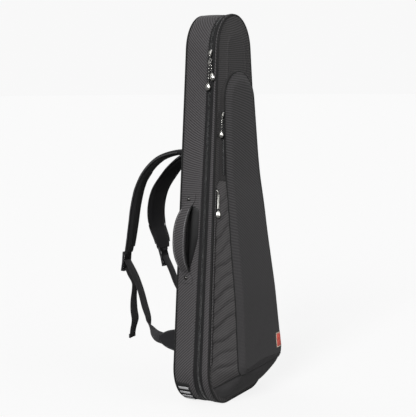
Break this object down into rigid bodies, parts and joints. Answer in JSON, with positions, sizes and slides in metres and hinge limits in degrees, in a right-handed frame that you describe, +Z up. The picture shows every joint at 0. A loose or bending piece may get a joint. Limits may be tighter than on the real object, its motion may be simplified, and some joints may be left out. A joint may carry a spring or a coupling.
{
  "type": "padded gig bag",
  "caption": "Upright padded case with a zipped hinged lid, wedge-shaped front pockets, a side carry handle and two padded shoulder straps.",
  "frame": {"origin": "centre of the flat bottom that the bag stands on, midway between its sides and 53.5 mm in front of the back panel", "axes": "+Z up along the bag's length, +X to the right of a person facing the pockets, -Y the pocket side, +Y the side of the shoulder straps"},
  "size_m": [0.3666, 0.4104, 1.06],
  "materials": {
    "ribbed_fabric": "ribbed ballistic polyester, matt dark charcoal",
    "smooth_fabric": "close-woven smooth polyester, matt near-black",
    "piping": "black woven edge binding over cord",
    "webbing": "black woven polyester webbing",
    "strap_padding": "black padded nylon with bound edges",
    "zip_tape": "black woven zip tape with black nylon coil",
    "plush_lining": "short grey plush bonded to foam",
    "foam_block": "dense closed-cell foam",
    "rubber": "black moulded rubber with pale raised ribs",
    "black_plastic": "black moulded acetal",
    "slider_metal": "dark nickel",
    "pull_cord": "black braided cord with pale flecks",
    "pull_silver": "satin silver",
    "palm_pad": "smooth black neoprene",
    "label_patch": "coral patch with a beige edge, no lettering"
  },
  "bodies": {
    "root": {"gusset_left": "ribbed_fabric", "gusset_right": "ribbed_fabric", "gusset_top": "ribbed_fabric", "gusset_bottom": "ribbed_fabric", "back_panel": "ribbed_fabric", "back_padding": "plush_lining", "wall_padding": "plush_lining", "back_piping": "piping", "body_zip_tape": "zip_tape", "hinge_strip": "webbing", "neck_cradle": "plush_lining", "neck_strap": "webbing", "end_bumper": "foam_block", "left_foot": "rubber", "right_foot": "rubber", "handle_tab_upper": "ribbed_fabric", "handle_tab_lower": "ribbed_fabric", "handle_rivet_upper": "slider_metal", "handle_rivet_lower": "slider_metal", "left_strap_anchor": "webbing", "right_strap_anchor": "webbing"},
    "lid": {"lid_panel": "ribbed_fabric", "lid_padding": "plush_lining", "lid_gusset": "ribbed_fabric", "lid_piping": "piping", "lid_zip_tape": "zip_tape", "lid_hinge_strip": "webbing", "front_panel": "smooth_fabric", "pocket_side_left": "ribbed_fabric", "pocket_side_right": "ribbed_fabric", "pocket_bottom": "smooth_fabric", "neck_pocket_wall": "ribbed_fabric", "pocket_divider": "plush_lining", "pocket_zip_tape": "zip_tape", "neck_zip_tape": "zip_tape", "label_patch": "label_patch"},
    "main_slider_upper": {"main_slider_upper": "slider_metal"},
    "main_pull_upper": {"main_pull_cord_upper": "pull_cord", "main_pull_tip_upper": "pull_silver"},
    "main_slider_lower": {"main_slider_lower": "slider_metal"},
    "main_pull_lower": {"main_pull_cord_lower": "pull_cord", "main_pull_tip_lower": "pull_silver"},
    "pocket_slider": {"pocket_slider": "slider_metal"},
    "pocket_pull": {"pocket_pull_tab": "pull_silver", "pocket_pull_tip": "pull_silver"},
    "neck_slider": {"neck_slider": "slider_metal"},
    "neck_pull": {"neck_pull_cord": "pull_cord", "neck_pull_tip": "pull_silver"},
    "side_handle": {"handle_grip": "ribbed_fabric", "handle_palm_pad": "palm_pad"},
    "left_strap": {"left_shoulder_pad": "strap_padding", "left_ladder_lock": "black_plastic", "left_webbing": "webbing", "left_webbing_tail": "webbing", "left_anchor_wing": "webbing"},
    "right_strap": {"right_shoulder_pad": "strap_padding", "right_ladder_lock": "black_plastic", "right_webbing": "webbing", "right_anchor_wing": "webbing"}
  },
  "joints": [
    {"name": "lid_hinge", "type": "hinge", "parent": "root", "child": "lid", "pos_m": [0.13867, -0.025, 0.525], "axis": [-0.0935, 0, 0.9956], "range_deg": [0, 165]},
    {"name": "main_slider_upper_travel", "type": "hinge", "parent": "root", "child": "main_slider_upper", "pos_m": [0, -0.025, 0.9629], "axis": [0, 1, 0], "range_deg": [0, 140]},
    {"name": "main_pull_upper_swing", "type": "hinge", "parent": "main_slider_upper", "child": "main_pull_upper", "pos_m": [-0.10437, -0.025, 0.95953], "axis": [0, 1, 0], "range_deg": [0, 150]},
    {"name": "main_slider_lower_travel", "type": "slide", "parent": "root", "child": "main_slider_lower", "axis": [-0.0935, 0, -0.9956], "range_m": [0, 0.79]},
    {"name": "main_pull_lower_swing", "type": "hinge", "parent": "main_slider_lower", "child": "main_pull_lower", "pos_m": [-0.10672, -0.025, 0.93453], "axis": [0, 1, 0], "range_deg": [0, 110]},
    {"name": "pocket_slider_travel", "type": "slide", "parent": "lid", "child": "pocket_slider", "axis": [-0.0935, -0.0141, -0.9955], "range_m": [0, 0.43]},
    {"name": "pocket_pull_swing", "type": "hinge", "parent": "pocket_slider", "child": "pocket_pull", "pos_m": [-0.1239, -0.06195, 0.59011], "axis": [-0.9956, 0, 0.0935], "range_deg": [0, 150]},
    {"name": "neck_slider_travel", "type": "slide", "parent": "lid", "child": "neck_slider", "axis": [-0.0653, -0.0302, -0.9974], "range_m": [0, 0.105]},
    {"name": "neck_pull_swing", "type": "hinge", "parent": "neck_slider", "child": "neck_pull", "pos_m": [-0.10285, -0.05801, 0.79663], "axis": [0, 1, 0], "range_deg": [0, 150]},
    {"name": "side_handle_swing", "type": "hinge", "parent": "root", "child": "side_handle", "pos_m": [-0.14421, 0.022, 0.466], "axis": [0.0935, 0, 0.9956], "range_deg": [-12, 28]},
    {"name": "left_strap_swing", "type": "hinge", "parent": "root", "child": "left_strap", "pos_m": [-0.15, 0.0535, 0.18], "axis": [0.1987, 0, 0.9801], "range_deg": [-6, 40], "stiffness_Nm_per_rad": 0.8},
    {"name": "right_strap_swing", "type": "hinge", "parent": "root", "child": "right_strap", "pos_m": [0.15, 0.0535, 0.18], "axis": [0.1987, 0, -0.9801], "range_deg": [-6, 40], "stiffness_Nm_per_rad": 0.8}
  ]
}
